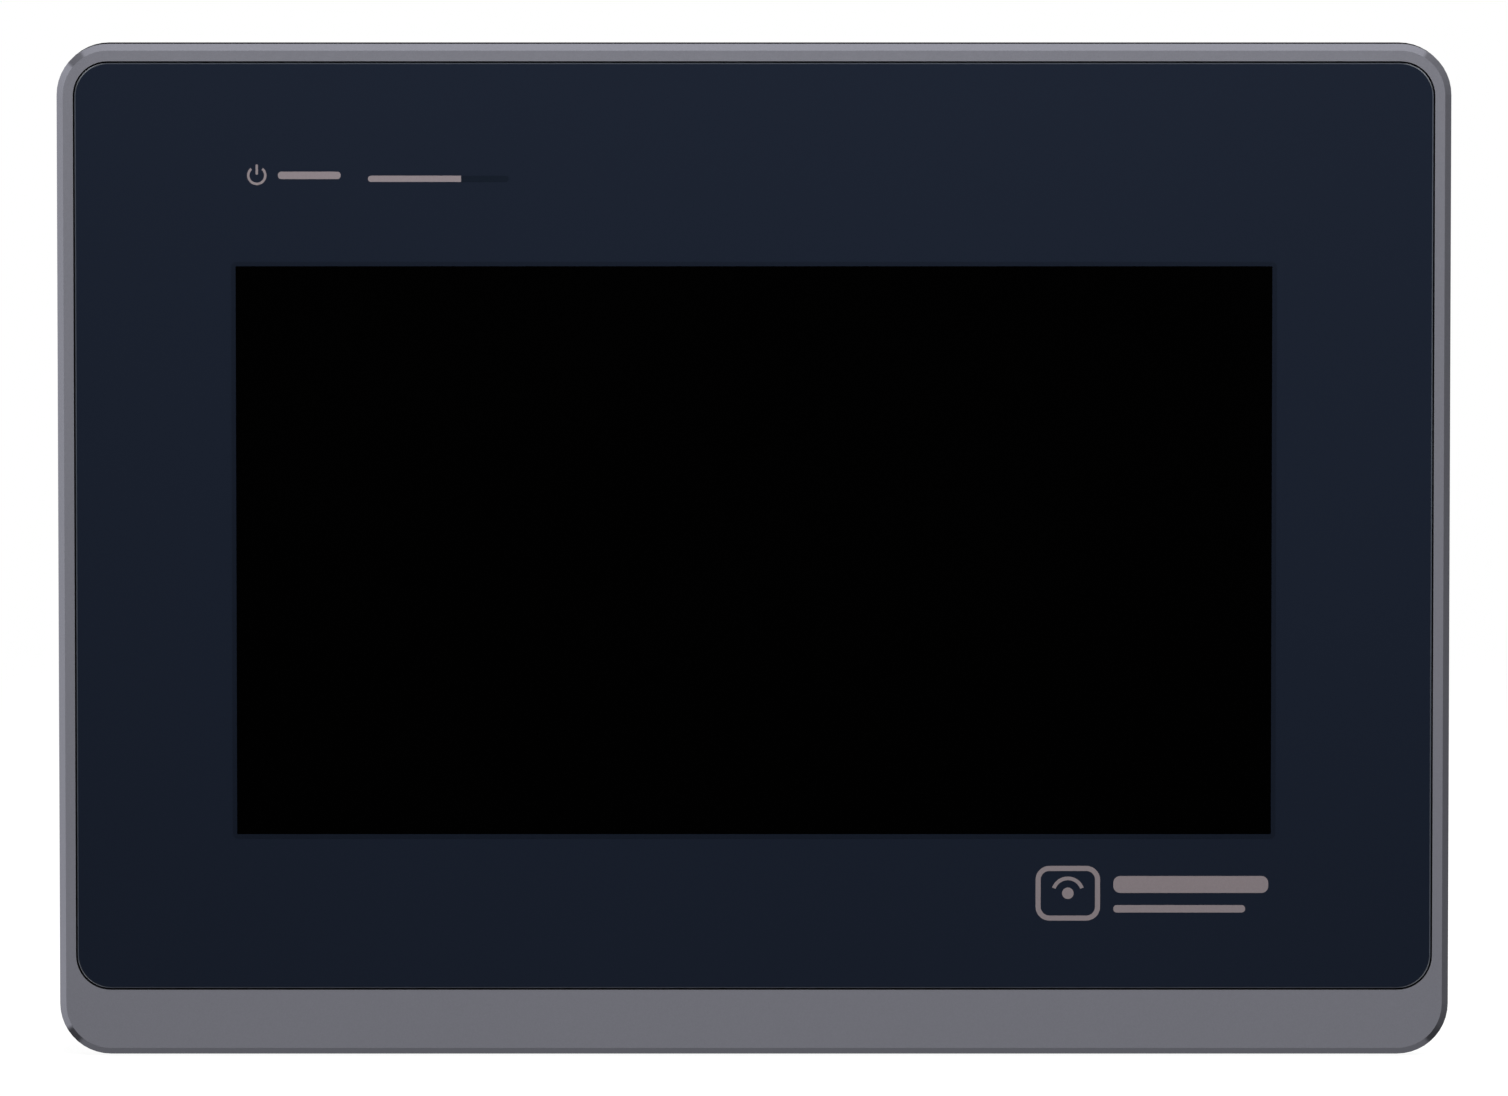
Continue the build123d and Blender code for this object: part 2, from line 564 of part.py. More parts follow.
with BuildPart() as power_pins:
    for pole in POLES:
        block(around(pole, 0.5), around(PIN_DEPTH, 0.5), (-53, -42.6))
        block(around(pole, 0.5), (BOARD_BACK, PIN_DEPTH + 0.5), (-43.6, -42.6))
save(power_pins.part, "power_pins")

HEADER_Y = (BOARD_BACK, 23.0)
HEADER_HALF = 8.9
SOCKET_Y = (15.3, 21.7)
SOCKET_HALF = 7.8
SOCKET_END = -45.1

with BuildPart() as power_header:
    block(around(POWER_X, HEADER_HALF), HEADER_Y, (MOUTH, -43.7))
    block(around(POWER_X, SOCKET_HALF), SOCKET_Y, (MOUTH, SOCKET_END), mode=Mode.SUBTRACT)
    for pole in POLES:  # keying slots over each pole
        block(around(pole, 0.8), (SOCKET_Y[1], HEADER_Y[1]), (MOUTH, MOUTH + 5), mode=Mode.SUBTRACT)
    add(power_pins.part, mode=Mode.SUBTRACT)
save(power_header.part, "power_header")

# ================================================================ removable power plug

PLUG_HALF = 7.7
PLUG_Y = (13.8, 26.0)
PLUG_Z = (-71.5, MOUTH - 0.2)
NOSE_Y = (15.6, 21.4)
CAGE_ROOM_Y = (15.0, 24.6)
CAGE_ROOM_Z = (-69.5, -62.5)
SCREW_Z = -66.0
BAR_Y = (19.0, 19.8)
WIRE_Y = (15.8, 19.0)

with BuildPart() as plug_contacts:
    for pole in POLES:
        block(around(pole, 1.3), around(PIN_DEPTH, 1.3), (-56.5, -46.2))
        block(around(pole, 1.2), BAR_Y, (-68.5, -56.5))
        block(around(pole, 0.6), around(PIN_DEPTH, 0.6), (-55.5, -46.2), mode=Mode.SUBTRACT)
save(plug_contacts.part, "plug_contacts")

with BuildPart() as power_plug:
    block(around(POWER_X, PLUG_HALF), PLUG_Y, PLUG_Z)
    fillet(power_plug.edges().filter_by(Axis.Z), 0.6)
    block(around(POWER_X, 7.5), NOSE_Y, (PLUG_Z[1], SOCKET_END - 0.3))
    for pole in POLES:
        block(around(pole, 2.1), CAGE_ROOM_Y, CAGE_ROOM_Z, mode=Mode.SUBTRACT)
        block(around(pole, 1.7), WIRE_Y, (PLUG_Z[0], CAGE_ROOM_Z[0]), mode=Mode.SUBTRACT)
        block(around(pole, 0.9), around(PIN_DEPTH, 0.9), (-46.5, SOCKET_END), mode=Mode.SUBTRACT)
        block(around(pole, 1.3), around(PIN_DEPTH, 1.3), (-56.5, -46.2), mode=Mode.SUBTRACT)
    rod(2.1, CAGE_ROOM_Y[1], PLUG_Y[1], *[(pole, SCREW_Z) for pole in POLES], mode=Mode.SUBTRACT)
    add(plug_contacts.part, mode=Mode.SUBTRACT)
save(power_plug.part, "power_plug")

for number, pole in enumerate(POLES, 1):
    with BuildPart() as terminal_cage:
        block(around(pole, 1.95), (15.1, 22.2), around(SCREW_Z, 2.1))
        block(around(pole, 1.5), (16.1, 20.6), around(SCREW_Z, 2.1), mode=Mode.SUBTRACT)
        rod(1.5, 20.6, 22.2, (pole, SCREW_Z), mode=Mode.SUBTRACT)
    save(terminal_cage.part, f"terminal_cage_{number}")

    with BuildPart() as terminal_screw:
        rod(1.9, 24.7, 25.8, (pole, SCREW_Z))
        chamfer(terminal_screw.faces().sort_by(Axis.Y)[-1].edges(), 0.2)
        rod(1.45, 20.0, 24.7, (pole, SCREW_Z))
        block(around(pole, 1.9), (25.1, 25.8), around(SCREW_Z, 0.3), mode=Mode.SUBTRACT)
    save(terminal_screw.part, f"terminal_screw_{number}")

# ================================================================ rear housing

PORTS = [  # centre, half width and depth range of each opening in the housing's bottom face
    (POWER_X, HEADER_HALF + 0.2, (HEADER_Y[0] - 0.2, HEADER_Y[1] + 0.2)),
    (USB_MINI_X, 4.2, (USB_MINI_Y[0] - 0.3, USB_MINI_Y[1] + 0.3)),
    (USB_A_X, 6.9, (USB_A_Y[0] - 0.3, USB_A_Y[1] + 0.3)),
    *[(jack, JACK[0] / 2 + 0.2, (JACK_Y[0] - 0.2, JACK_Y[1] + 0.2)) for jack in JACKS],
]
REAR_INNER = grown(REAR, -HOUSING_WALL)
VENT = (2.0, 14.0)
VENT_PITCH = 4.6
VENT_GROUP = 8
BACK_VENT = 22.0
BACK_VENT_SPOTS = [(-46, 38), (46, 38)]
VENT_FIELD = (42.0, 28.0)
FIELD_DEPTH = 0.5
LABEL = (90.0, 44.0)
LABEL_CENTRE = (0, -12)
CLAMP_SIDES = {"top_left": (-1, 1), "top_right": (1, 1), "bottom_left": (-1, -1), "bottom_right": (1, -1)}


def side_span(side, low, high):
    """Height limits of a feature on the top (side 1) or bottom (side -1) of the unit."""
    return (low, high) if side > 0 else (-high, -low)


with BuildPart() as cavity:  # the hollow inside the rear housing
    plate(grown(BASE, -HOUSING_WALL), 1.5, HOUSING_SEAT, STEP - HOUSING_WALL)
    plate(REAR_INNER, REAR_CORNER - HOUSING_WALL, HOUSING_SEAT, BACK - HOUSING_WALL, REAR_CENTRE)
    rod(WELL_RADIUS + WELL_WALL, WELL_FRONT, BACK, *HOUSING_SCREWS, mode=Mode.SUBTRACT)
    for across, side in CLAMP_SIDES.values():
        block(
            around(across * CLAMP_X, SLOT_HALF + 1.5),
            (SLOT_Y[0] - 1.5, STEP),
            side_span(side, BASE[1] / 2 - HOUSING_WALL - HOOK_DEPTH - 1.5, BASE[1] / 2),
            mode=Mode.SUBTRACT,
        )

with BuildPart() as rear_housing:
    plate(BASE, BASE_CORNER, HOUSING_SEAT, STEP)
    fillet(rear_housing.faces().sort_by(Axis.Y)[-1].edges(), 1.0)
    plate(REAR, REAR_CORNER, STEP - 1, BACK, REAR_CENTRE)
    fillet(rear_housing.faces().sort_by(Axis.Y)[-1].edges(), 2.0)
    add(cavity.part, mode=Mode.SUBTRACT)
    rod(WELL_RADIUS, WELL_FLOOR, BACK, *HOUSING_SCREWS, mode=Mode.SUBTRACT)
    rod(1.7, WELL_FRONT, WELL_FLOOR, *HOUSING_SCREWS, mode=Mode.SUBTRACT)
    # clamp slots: an opening in the wall, undercut towards the rear for the hook
    for across, side in CLAMP_SIDES.values():
        x_span = around(across * CLAMP_X, SLOT_HALF)
        roof = BASE[1] / 2 - HOUSING_WALL
        block(x_span, SLOT_Y, side_span(side, roof - HOOK_DEPTH, BASE[1] / 2), mode=Mode.SUBTRACT)
        block(x_span, (SLOT_Y[0], HOOK_BACK), side_span(side, roof - HOOK_DEPTH, roof), mode=Mode.SUBTRACT)
    floor_span = (REAR_BOTTOM - 1, REAR_BOTTOM + HOUSING_WALL + 1)
    for x, half, depth_span in PORTS:
        block(around(x, half), depth_span, floor_span, mode=Mode.SUBTRACT)
    serial_body(0.7, *floor_span, mode=Mode.SUBTRACT)
    with Locations(*[(x, SERIAL_DEPTH, REAR_BOTTOM + 1) for x in JACKSCREWS]):
        Cylinder(1.7, 8, mode=Mode.SUBTRACT)
    # ventilation: slots through the top, the bottom edge and the upper back
    for side in (-1, 1):
        with BuildSketch(Plane.XY.offset(REAR_TOP + 1)) as top_vents:
            with Locations((side * 32, 24.5)):
                with GridLocations(VENT_PITCH, 1, VENT_GROUP, 1):
                    SlotOverall(VENT[1], VENT[0], rotation=90)
        extrude(top_vents.sketch, amount=-HOUSING_WALL - 2, mode=Mode.SUBTRACT)
    plate(VENT_FIELD, 2, BACK - FIELD_DEPTH, BACK, *BACK_VENT_SPOTS, mode=Mode.SUBTRACT)
    with BuildSketch(at_depth(BACK + 1)) as back_vents:
        with Locations(*BACK_VENT_SPOTS):
            with GridLocations(VENT_PITCH, 1, VENT_GROUP, 1):
                SlotOverall(BACK_VENT, VENT[0], rotation=90)
    extrude(back_vents.sketch, amount=HOUSING_WALL + 2, mode=Mode.SUBTRACT)
    with BuildSketch(Plane.XY.offset(REAR_BOTTOM - 1)) as bottom_vents:
        with Locations((0, 30.8)):
            with GridLocations(10, 1, 15, 1):
                SlotOverall(7, VENT[0])
    extrude(bottom_vents.sketch, amount=HOUSING_WALL + 2, mode=Mode.SUBTRACT)
    plate(grown(LABEL, 1), 2, BACK - FIELD_DEPTH, BACK, LABEL_CENTRE, mode=Mode.SUBTRACT)
save(rear_housing.part, "rear_housing")

with BuildPart() as rating_label:
    plate(LABEL, 1.5, BACK - FIELD_DEPTH, BACK - FIELD_DEPTH + 0.2, LABEL_CENTRE)
save(rating_label.part, "rating_label")

with BuildPart() as housing_screws:
    with Locations(*[(x, WELL_FLOOR, z) for x, z in HOUSING_SCREWS]):
        add(pan_screw(2.9, 2.3, 1.45, 8.0))
save(housing_screws.part, "housing_screws")

# ================================================================ cabinet clamps

PAD_BORE = 1.55
PIVOT_RADIUS = 1.5
THREAD_RADIUS = 2.0
HEAD_FRONT = 31.0
FOOT_BACK = FOOT_FRONT + 3.2
WALL_TOP = BASE[1] / 2 + PLAY


def clamp_bracket_shape():
    """Hooked bracket of a top clamp, centred on X = 0."""
    hook_top = BASE[1] / 2 - HOUSING_WALL - PLAY
    hook = (hook_top - HOOK_DEPTH + 2 * PLAY, hook_top)
    neck = (SLOT_Y[1] - 2.6, SLOT_Y[1] - PLAY)
    with BuildPart() as bracket:
        block(around(0, 6.5), CLAMP_NUT, (WALL_TOP, WALL_TOP + 6.3))
        fillet(bracket.edges().filter_by(Axis.Y).group_by(Axis.Z)[-1], 1.8)
        chamfer(bracket.faces().sort_by(Axis.Y)[0].edges().group_by(Axis.Z)[-1], 0.6)
        block(around(0, 6.5), (neck[0], CLAMP_NUT[0]), (WALL_TOP, WALL_TOP + 1.3))
        block(around(0, 5.9), neck, (hook[0], WALL_TOP))
        block(around(0, 5.9), (neck[0], HOOK_BACK - 0.2), hook)
        rod(FOOT_RADIUS + 0.15, neck[0], CLAMP_NUT[0], (0, CLAMP_AXIS), mode=Mode.SUBTRACT)
        rod(THREAD_RADIUS + 0.05, CLAMP_NUT[0], CLAMP_NUT[1], (0, CLAMP_AXIS), mode=Mode.SUBTRACT)
    return bracket.part


def clamp_foot_shape():
    """Round pressure pad on the end of a clamp screw, bored for the screw's pivot."""
    with BuildPart() as foot:
        rod(FOOT_RADIUS, FOOT_FRONT, FOOT_BACK, (0, CLAMP_AXIS))
        fillet(foot.faces().sort_by(Axis.Y)[0].edges(), 0.5)
        chamfer(foot.faces().sort_by(Axis.Y)[-1].edges(), 0.4)
        rod(PAD_BORE, FOOT_FRONT + 1.2, FOOT_BACK, (0, CLAMP_AXIS), mode=Mode.SUBTRACT)
    return foot.part


def clamp_screw_shape():
    """Clamp screw: pivot tip in the foot, threaded shank and a slotted head at the rear."""
    with BuildPart() as screw:
        rod(PIVOT_RADIUS, FOOT_FRONT + 1.3, FOOT_BACK + 0.2, (0, CLAMP_AXIS))
        rod(THREAD_RADIUS, FOOT_BACK + 0.2, HEAD_FRONT, (0, CLAMP_AXIS))
        rod(2.95, HEAD_FRONT, HEAD_FRONT + 2.6, (0, CLAMP_AXIS))
        fillet(screw.faces().sort_by(Axis.Y)[-1].edges(), 0.7)
        slot = (HEAD_FRONT + 1.2, HEAD_FRONT + 2.6)
        block(around(0, 2.1), slot, around(CLAMP_AXIS, 0.4), mode=Mode.SUBTRACT)
        block(around(0, 0.4), slot, around(CLAMP_AXIS, 2.1), mode=Mode.SUBTRACT)
    return screw.part


clamp_shapes = {
    "clamp_bracket": clamp_bracket_shape(),
    "clamp_foot": clamp_foot_shape(),
    "clamp_screw": clamp_screw_shape(),
}
for corner, (across, side) in CLAMP_SIDES.items():
    turn = 0 if side > 0 else 180  # bottom clamps are top clamps turned half round about Y
    for piece, shape in clamp_shapes.items():
        save(Pos(across * CLAMP_X, 0, 0) * Rot(0, turn, 0) * shape, f"{piece}_{corner}")
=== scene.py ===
import json
import math

import bmesh
import bpy
from mathutils import Matrix, Vector


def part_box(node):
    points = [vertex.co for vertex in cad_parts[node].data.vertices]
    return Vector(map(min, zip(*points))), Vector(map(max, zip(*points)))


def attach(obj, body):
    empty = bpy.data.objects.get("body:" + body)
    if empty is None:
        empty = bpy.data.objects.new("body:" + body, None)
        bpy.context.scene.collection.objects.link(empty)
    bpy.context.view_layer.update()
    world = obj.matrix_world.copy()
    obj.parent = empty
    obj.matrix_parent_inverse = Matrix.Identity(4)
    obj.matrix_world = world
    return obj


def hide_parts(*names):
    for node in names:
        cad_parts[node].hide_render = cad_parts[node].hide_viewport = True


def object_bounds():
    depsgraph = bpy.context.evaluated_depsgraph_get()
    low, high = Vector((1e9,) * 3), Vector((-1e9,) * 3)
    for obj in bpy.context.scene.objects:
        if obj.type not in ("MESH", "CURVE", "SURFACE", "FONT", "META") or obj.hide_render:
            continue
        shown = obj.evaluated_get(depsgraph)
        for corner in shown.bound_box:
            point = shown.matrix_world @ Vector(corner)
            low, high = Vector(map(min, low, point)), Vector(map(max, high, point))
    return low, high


# A 7-inch wide operator touch panel. The CAD pieces keep their shapes and get node-based materials
# here. The print, small lights and threaded clamp screws are added as pieces of their own.
#
# Frame: +X to the right and +Z up as the operator sees it, and the screen faces -Y. The origin is
# the centre of the cabinet cut-out, on the bezel's seat plane. Blender works in metres. Outlines
# are drawn in millimetres, as (x, z) points seen from the front.

MM = 0.001
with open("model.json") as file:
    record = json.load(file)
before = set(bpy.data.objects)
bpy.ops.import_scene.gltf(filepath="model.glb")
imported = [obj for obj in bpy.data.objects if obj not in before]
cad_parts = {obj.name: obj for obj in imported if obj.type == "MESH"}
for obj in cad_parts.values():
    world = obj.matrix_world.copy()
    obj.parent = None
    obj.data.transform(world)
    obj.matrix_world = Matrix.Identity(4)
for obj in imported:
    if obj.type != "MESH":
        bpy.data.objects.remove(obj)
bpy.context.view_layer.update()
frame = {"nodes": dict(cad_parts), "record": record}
nodes = frame["nodes"]

bezel_low, bezel_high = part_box("front_bezel")
BEZEL_CHAMFER = 0.95 * MM
SIDE_WALLS = bezel_low.y + BEZEL_CHAMFER  # depth behind which the bezel shows only upright walls

screen_low, screen_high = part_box("overlay_sheet")
SCREEN_FACE = screen_low.y
SCREEN_MIDDLE = (screen_low + screen_high) / 2
SCREEN_HALF = (screen_high - screen_low) / 2
SCREEN_CORNER = 4.6 * MM  # reach of the screen's rounded corners
PRINT_THICKNESS = 0.02 * MM


# ------------------------------------------------------------------------------ node trees


class Tree:
    """The node tree of a material or world, built socket by socket."""

    def __init__(self, owner):
        owner.use_nodes = True
        self.tree = owner.node_tree
        self.tree.nodes.clear()

    def add(self, kind, **settings):
        """Adds a shader node of the named kind with its properties set."""
        node = self.tree.nodes.new("ShaderNode" + kind)
        for name, value in settings.items():
            setattr(node, name, value)
        return node

    def plug(self, socket, value):
        """Links a socket, or sets its value."""
        if isinstance(value, bpy.types.NodeSocket):
            self.tree.links.new(value, socket)
        elif isinstance(value, (tuple, list)) and socket.type == "RGBA":
            socket.default_value = (*value[:3], 1)
        else:
            socket.default_value = value

    def shader(self, kind, **inputs):
        """Adds a shader and returns its output."""
        node = self.add(kind)
        for name, value in inputs.items():
            self.plug(node.inputs[name], value)
        return node.outputs[0]

    def blend(self, factor, a, b):
        """Shader between a and b."""
        node = self.add("MixShader")
        self.plug(node.inputs[0], factor)
        self.plug(node.inputs[1], a)
        self.plug(node.inputs[2], b)
        return node.outputs[0]

    def finish(self, kind, shader):
        """Links the finished shader to the tree's output."""
        self.plug(self.add(kind).inputs["Surface"], shader)

    def math(self, operation, a, b=0.0):
        node = self.add("Math", operation=operation)
        self.plug(node.inputs[0], a)
        self.plug(node.inputs[1], b)
        return node.outputs[0]

    def vector(self, operation, a, b=(0, 0, 0), result="Value"):
        node = self.add("VectorMath", operation=operation)
        self.plug(node.inputs[0], a)
        self.plug(node.inputs[1], b)
        return node.outputs[result]

    def step(self, value, low, high, to_low=0.0, to_high=1.0):
        """Smooth change from to_low to to_high as value passes from low to high."""
        node = self.add("MapRange", interpolation_type="SMOOTHSTEP")
        numbers = (value, low, high, to_low, to_high)
        for name, number in zip(("Value", "From Min", "From Max", "To Min", "To Max"), numbers):
            self.plug(node.inputs[name], number)
        return node.outputs["Result"]


class Graph(Tree):
    """A material with one Principled shader."""

    def __init__(self, name, colour):
        self.material = bpy.data.materials.new(name)
        self.material.diffuse_color = (*colour, 1)
        super().__init__(self.material)
        self.surface = self.add("BsdfPrincipled")
        self.finish("OutputMaterial", self.surface.outputs["BSDF"])
        self.place = self.add("TexCoord").outputs["Object"]
        self.set("Base Color", colour)

    def set(self, name, value):
        self.plug(self.surface.inputs[name], value)

    def axes(self):
        """The three object coordinates as separate sockets, in metres."""
        node = self.add("SeparateXYZ")
        self.plug(node.inputs[0], self.place)
        return node.outputs

    def noise(self, size_mm, detail=2.0, roughness=0.5, stretch=None):
        """Noise whose features are about size_mm across, 0 to 1."""
        node = self.add("TexNoise")
        place = self.vector("MULTIPLY", self.place, stretch, "Vector") if stretch else self.place
        self.plug(node.inputs["Vector"], place)
        self.plug(node.inputs["Scale"], 1 / (size_mm * MM))
        self.plug(node.inputs["Detail"], detail)
        self.plug(node.inputs["Roughness"], roughness)
        return node.outputs["Fac"]

    def flakes(self, size_mm):
        """One random colour for each small cell."""
        node = self.add("TexVoronoi")
        self.plug(node.inputs["Vector"], self.place)
        self.plug(node.inputs["Scale"], 1 / (size_mm * MM))
        return node.outputs["Color"]

    def mix(self, factor, a, b):
        """Colour between a and b."""
        node = self.add("Mix", data_type="RGBA")
        self.plug(node.inputs[0], factor)
        self.plug(node.inputs[6], a)
        self.plug(node.inputs[7], b)
        return node.outputs[2]

    def soft_edges(self, radius_mm):
        """Normal rounded near edges, as a small moulding or handling radius."""
        node = self.add("Bevel", samples=4)
        self.plug(node.inputs["Radius"], radius_mm * MM)
        return node.outputs[0]

    def edge_mask(self, radius_mm):
        """1 on edges, 0 on flats."""
        normal = self.add("NewGeometry").outputs["Normal"]
        return self.step(self.vector("DOT_PRODUCT", self.soft_edges(radius_mm), normal), 0.96, 0.80)

    def bump(self, height, depth_mm, strength=1.0, normal=None):
        node = self.add("Bump")
        self.plug(node.inputs["Strength"], strength)
        self.plug(node.inputs["Distance"], depth_mm * MM)
        self.plug(node.inputs["Height"], height)
        if normal:
            self.plug(node.inputs["Normal"], normal)
        return node.outputs[0]


def shade(colour, factor):
    return tuple(channel * factor for channel in colour)


# ------------------------------------------------------------------------------ materials


def bezel_paint():
    """Fine metallic grey paint: glossier on the chamfer, matt on the walls, with painted shade darkening
    the walls, the top wall most.
    """
    grey = (0.33, 0.33, 0.378)
    g = Graph("bezel_paint", grey)
    depth, height = g.axes()[1:]
    chamfer = g.step(depth, bezel_low.y + 0.01 * MM, bezel_low.y + 0.05 * MM)
    wall = g.step(depth, SIDE_WALLS - 0.01 * MM, SIDE_WALLS + 0.07 * MM)
    # Painted shade: the upright walls take a dark tone, and near the top edge the top wall a darker one
    # still.
    top = g.step(height, bezel_high.z - 4.45 * MM, bezel_high.z - 0.45 * MM)
    flake = g.mix(g.step(g.flakes(0.12), 0.1, 0.9), shade(grey, 0.93), shade(grey, 1.07))
    cloudy = g.mix(g.noise(18, 3), shade(grey, 0.97), shade(grey, 1.03))
    painted_wall_shade = g.mix(top, shade(grey, 0.12), shade(grey, 0.035))
    satin = g.step(g.noise(0.8, 3), 0.2, 0.8, 0.19, 0.25)
    satin = g.math("MULTIPLY", satin, g.step(chamfer, 0, 1, 1.0, 0.42))
    g.set("Base Color", g.mix(wall, g.mix(0.5, flake, cloudy), painted_wall_shade))
    g.set("Metallic", g.step(wall, 0, 1, 0.70, 0.0))
    g.set("Roughness", g.math("ADD", satin, g.math("MULTIPLY", wall, 0.4)))
    g.set("Specular IOR Level", g.step(wall, 0, 1, 0.5, 0.0))
    g.set("Normal", g.bump(g.noise(0.35, 2), 0.002, 0.15))
    return g.material


def overlay_film():
    """Navy anti-glare front sheet; a painted highlight makes its bevelled edge paler, most of all round
    the corners.
    """
    navy = (0.0079, 0.0120, 0.0228)
    # Painted highlight: the bevelled edge is paler than the sheet, palest round the corners.
    edge_painted_highlight = (0.105, 0.120, 0.150)
    corner_painted_highlight = (0.34, 0.36, 0.39)
    g = Graph("overlay_film", navy)
    x, depth, z = g.axes()
    edge = g.step(depth, SCREEN_FACE + 0.02 * MM, SCREEN_FACE + 0.06 * MM)
    # The painted highlight is dimmer along the top edge and at the upper corners, which the light from
    # above already brightens.
    top = g.step(z, SCREEN_HALF.z - 1.0 * MM, SCREEN_HALF.z - 0.2 * MM)
    near_corner = []
    for place, middle, half in ((x, SCREEN_MIDDLE.x, SCREEN_HALF.x), (z, SCREEN_MIDDLE.z, SCREEN_HALF.z)):
        off_centre = g.math("ABSOLUTE", g.math("SUBTRACT", place, middle))
        near_corner.append(g.step(off_centre, half - SCREEN_CORNER, half - 1.2 * MM))
    corner = g.math("POWER", g.math("MULTIPLY", *near_corner), 0.5)
    corner = g.math("MULTIPLY", corner, g.step(z, -SCREEN_HALF.z, SCREEN_HALF.z, 1.0, 0.4))
    rim_painted_highlight = g.mix(corner, g.mix(top, edge_painted_highlight, shade(edge_painted_highlight, 0.4)), corner_painted_highlight)
    tint = g.mix(g.noise(60, 3), shade(navy, 0.92), shade(navy, 1.08))
    grain = g.mix(g.noise(0.15, 2), shade(navy, 0.9), shade(navy, 1.1))
    g.set("Base Color", g.mix(edge, g.mix(0.4, tint, grain), rim_painted_highlight))
    g.set("Roughness", g.step(edge, 0, 1, 0.46, 0.3))
    g.set("Specular IOR Level", g.step(edge, 0, 1, 0.06, 0.6))
    g.set("Normal", g.bump(g.noise(0.12, 3), 0.002, 0.4))
    return g.material


def window_film():
    """Clear part of the overlay over the switched-off display: near black."""
    black = (0.0004, 0.0004, 0.0004)
    g = Graph("window_film", black)
    g.set("Base Color", g.mix(g.noise(25, 2), shade(black, 0.8), shade(black, 1.3)))
    g.set("Roughness", g.step(g.noise(0.15, 2), 0.2, 0.8, 0.40, 0.50))
    g.set("Specular IOR Level", 0.0)
    g.set("Normal", g.bump(g.noise(0.12, 3), 0.002, 0.4))
    return g.material


def print_ink(name, ink, specular=0.25):
    """Screen-printed ink with a slight speckle."""
    g = Graph(name, ink)
    g.set("Base Color", g.mix(g.noise(0.2, 3), shade(ink, 0.9), shade(ink, 1.1)))
    g.set("Roughness", g.step(g.noise(0.3, 2), 0.2, 0.8, 0.48, 0.6))
    g.set("Specular IOR Level", specular)
    g.set("Normal", g.bump(g.noise(0.12, 3), 0.002, 0.3))
    return g.material


def moulded(name, colour, texture_mm=0.25, depth_mm=0.02, roughness=0.55, worn=1.35):
    """Moulded plastic with a fine spark texture, and edges polished by handling."""
    g = Graph(name, colour)
    field = g.mix(g.noise(22, 4), shade(colour, 0.92), shade(colour, 1.08))
    speck = g.mix(g.noise(texture_mm, 2), shade(colour, 0.88), shade(colour, 1.12))
    g.set("Base Color", g.mix(g.edge_mask(0.25), g.mix(0.45, field, speck), shade(colour, worn)))
    g.set("Roughness", g.step(g.noise(3, 3), 0.2, 0.8, roughness - 0.06, roughness + 0.06))
    g.set("Specular IOR Level", 0.4)
    g.set("Normal", g.bump(g.noise(texture_mm, 3, 0.6), depth_mm, 0.5, g.soft_edges(0.2)))
    return g.material


def metal(name, colour, roughness=0.3, brush=(1, 1, 1), grain_mm=0.6, worn=1.15):
    """Plated or cast metal with a grain along one axis and brighter edges."""
    g = Graph(name, colour)
    grain = g.noise(grain_mm, 3, 0.6, brush)
    body = g.mix(g.noise(6, 4), shade(colour, 0.86), shade(colour, 1.08))
    g.set("Base Color", g.mix(g.edge_mask(0.15), body, shade(colour, worn)))
    g.set("Metallic", 1.0)
    g.set("Roughness", g.step(grain, 0.25, 0.75, roughness - 0.07, roughness + 0.1))
    g.set("Normal", g.bump(grain, 0.006, 0.35, g.soft_edges(0.12)))
    return g.material


def rubber(name, colour):
    """Matt elastomer with a dusty bloom."""
    g = Graph(name, colour)
    g.set("Base Color", g.mix(g.step(g.noise(4, 4), 0.35, 0.75), colour, shade(colour, 1.9)))
    g.set("Roughness", g.step(g.noise(1, 3), 0.2, 0.8, 0.7, 0.85))
    g.set("Specular IOR Level", 0.25)
    g.set("Normal", g.bump(g.noise(0.2, 3), 0.01, 0.5))
    return g.material


def circuit_board():
    """Green solder mask with copper tracks showing through it as paler, raised bands."""
    mask = (0.006, 0.075, 0.03)
    g = Graph("circuit_board", mask)
    tracks = g.step(g.noise(2.0, 0, 0.5, (1, 1, 0.10)), 0.58, 0.60)
    across = g.step(g.noise(2.0, 0, 0.5, (0.10, 1, 1)), 0.62, 0.64)
    copper = g.math("MAXIMUM", tracks, across)
    g.set("Base Color", g.mix(copper, mask, shade(mask, 1.9)))
    g.set("Roughness", 0.35)
    g.set("Normal", g.bump(copper, 0.02, 0.4))
    return g.material


def flat_conductors(name, film, copper, pitch_mm):
    """Conductors side by side across X under a film."""
    g = Graph(name, film)
    wave = g.math("SINE", g.math("MULTIPLY", g.axes()[0], 2 * math.pi / (pitch_mm * MM)))
    g.set("Base Color", g.mix(g.step(wave, -0.3, 0.3), film, copper))
    g.set("Roughness", g.step(g.noise(2, 2), 0.2, 0.8, 0.3, 0.42))
    g.set("Normal", g.bump(wave, 0.01, 0.3))
    return g.material


def clear_glass():
    """Float glass with a faint green tint."""
    g = Graph("touch_glass", (0.8, 0.9, 0.87))
    g.set("Base Color", g.mix(g.noise(30, 2), (0.82, 0.9, 0.88), (0.88, 0.94, 0.92)))
    g.set("Roughness", 0.03)
    g.set("Transmission Weight", 0.9)
    g.set("IOR", 1.52)
    return g.material


def label_film():
    """Brushed silver polyester."""
    silver = (0.42, 0.43, 0.44)
    g = Graph("label_film", silver)
    grain = g.noise(0.3, 2, 0.5, (0.04, 1, 1))
    g.set("Base Color", g.mix(grain, shade(silver, 0.9), shade(silver, 1.1)))
    g.set("Metallic", 0.5)
    g.set("Roughness", g.step(grain, 0.2, 0.8, 0.36, 0.48))
    g.set("Normal", g.bump(grain, 0.003, 0.4))
    return g.material


